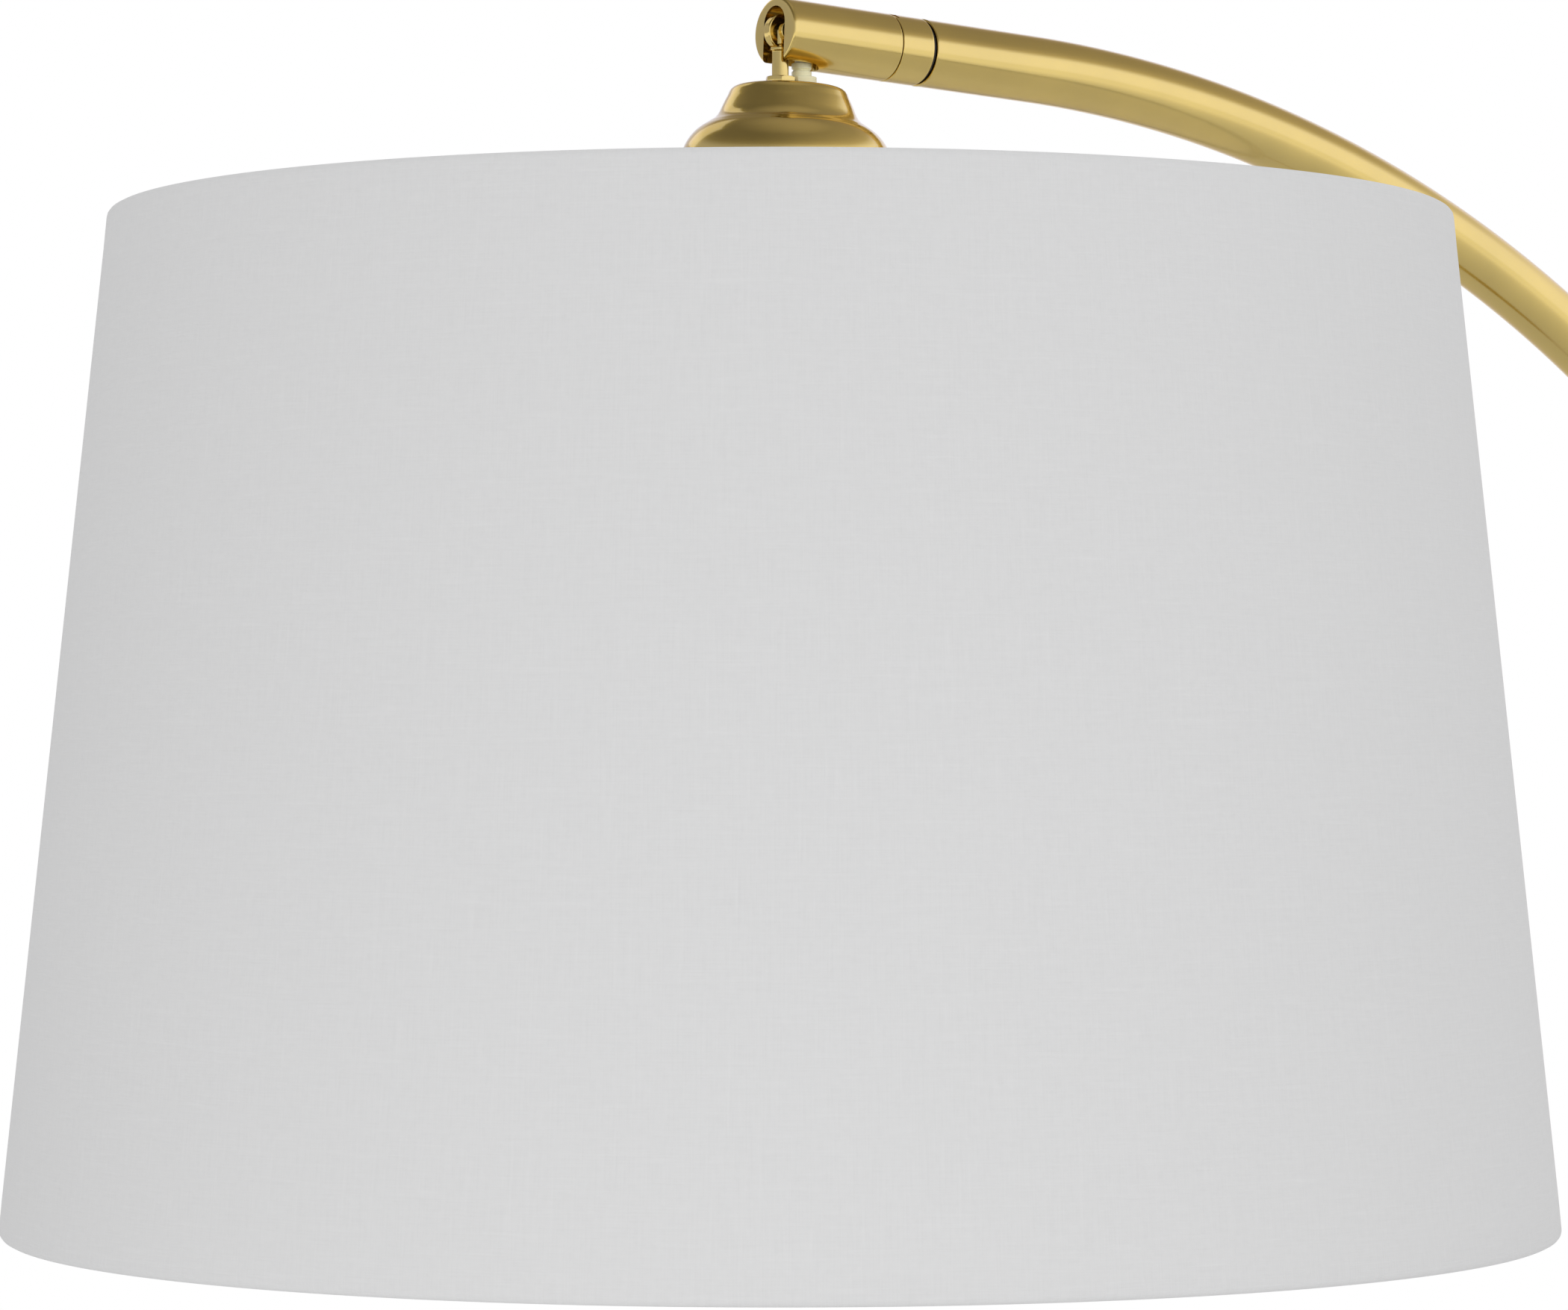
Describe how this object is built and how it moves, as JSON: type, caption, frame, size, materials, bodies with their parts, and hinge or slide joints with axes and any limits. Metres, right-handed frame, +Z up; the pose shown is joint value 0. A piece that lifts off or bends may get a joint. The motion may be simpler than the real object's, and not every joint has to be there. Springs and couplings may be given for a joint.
{
  "type": "arc floor lamp",
  "caption": "Floor lamp with a round weighted base, a sectioned pole, an arched arm and a drum shade hung from a slotted knuckle.",
  "frame": {"origin": "centre of the base's flat underside, on the floor under the pole", "axes": "+Z up along the pole; the arm arches towards -X in the XZ plane; +Y is to the side of the arm"},
  "size_m": [0.8961, 0.45, 1.7521],
  "materials": {
    "satin_brass": "satin",
    "zinc_steel": "satin",
    "cast_iron": "matte",
    "contact_brass": "satin",
    "linen_fabric": "matte",
    "white_styrene": "satin",
    "black_rubber": "matte",
    "black_nylon": "matte",
    "cream_plastic": "satin",
    "lead_plastic": "satin",
    "black_phenolic": "satin",
    "opal_glass": "satin"
  },
  "bodies": {
    "stand": {"base_pad": "black_rubber", "cord_inlet_grommet": "black_rubber", "base_weight": "cast_iron", "base_cover": "satin_brass", "base_washer": "zinc_steel", "base_nut": "zinc_steel", "pole_nipple": "zinc_steel", "pole_flange": "satin_brass", "pole_lower": "satin_brass", "pole_middle": "satin_brass", "pole_upper": "satin_brass", "pole_joint_1": "satin_brass", "pole_joint_2": "satin_brass", "pole_joint_3": "satin_brass", "pole_insert_1": "zinc_steel", "pole_insert_2": "zinc_steel", "pole_insert_3": "zinc_steel", "pole_insert_4": "zinc_steel", "arc_tube": "satin_brass", "arm_end_plug": "zinc_steel", "retaining_ring": "zinc_steel", "swivel_washer": "black_nylon", "lead_in_stand": "lead_plastic"},
    "knuckle": {"knuckle_barrel": "satin_brass", "swivel_collar": "satin_brass", "pivot_pin": "zinc_steel", "eye_spacer_far": "satin_brass", "eye_spacer_near": "satin_brass", "lead_in_knuckle": "lead_plastic"},
    "head": {"hanger": "satin_brass", "socket_cap": "satin_brass", "stem_nut": "satin_brass", "stem_lock_nut": "zinc_steel", "cable_bush": "cream_plastic", "lead_in_head": "lead_plastic", "socket_bracket": "zinc_steel", "bracket_screw_1": "zinc_steel", "bracket_screw_2": "zinc_steel", "socket_body": "black_phenolic", "screw_shell": "contact_brass", "centre_contact": "contact_brass", "shade_ring_nut": "black_phenolic", "bulb_base": "contact_brass", "bulb_globe": "opal_glass", "shade_fabric": "linen_fabric", "shade_liner": "white_styrene", "top_ring": "zinc_steel", "bottom_ring": "zinc_steel", "spider": "zinc_steel"},
    "switch_key": {"switch_shaft": "zinc_steel", "switch_knob": "black_phenolic"}
  },
  "joints": [
    {"name": "head_swivel", "type": "hinge", "parent": "stand", "child": "knuckle", "pos_m": [-0.47952, 0, 1.73983], "axis": [0.999, 0, -0.044], "range_deg": [-30, 30]},
    {"name": "shade_swing", "type": "hinge", "parent": "knuckle", "child": "head", "pos_m": [-0.52932, 0, 1.74202], "axis": [0, 1, 0], "range_deg": [-5, 45]},
    {"name": "switch_turn", "type": "hinge", "parent": "head", "child": "switch_key", "pos_m": [-0.52702, 0, 1.66243], "axis": [0, -1, 0], "continuous": true}
  ]
}
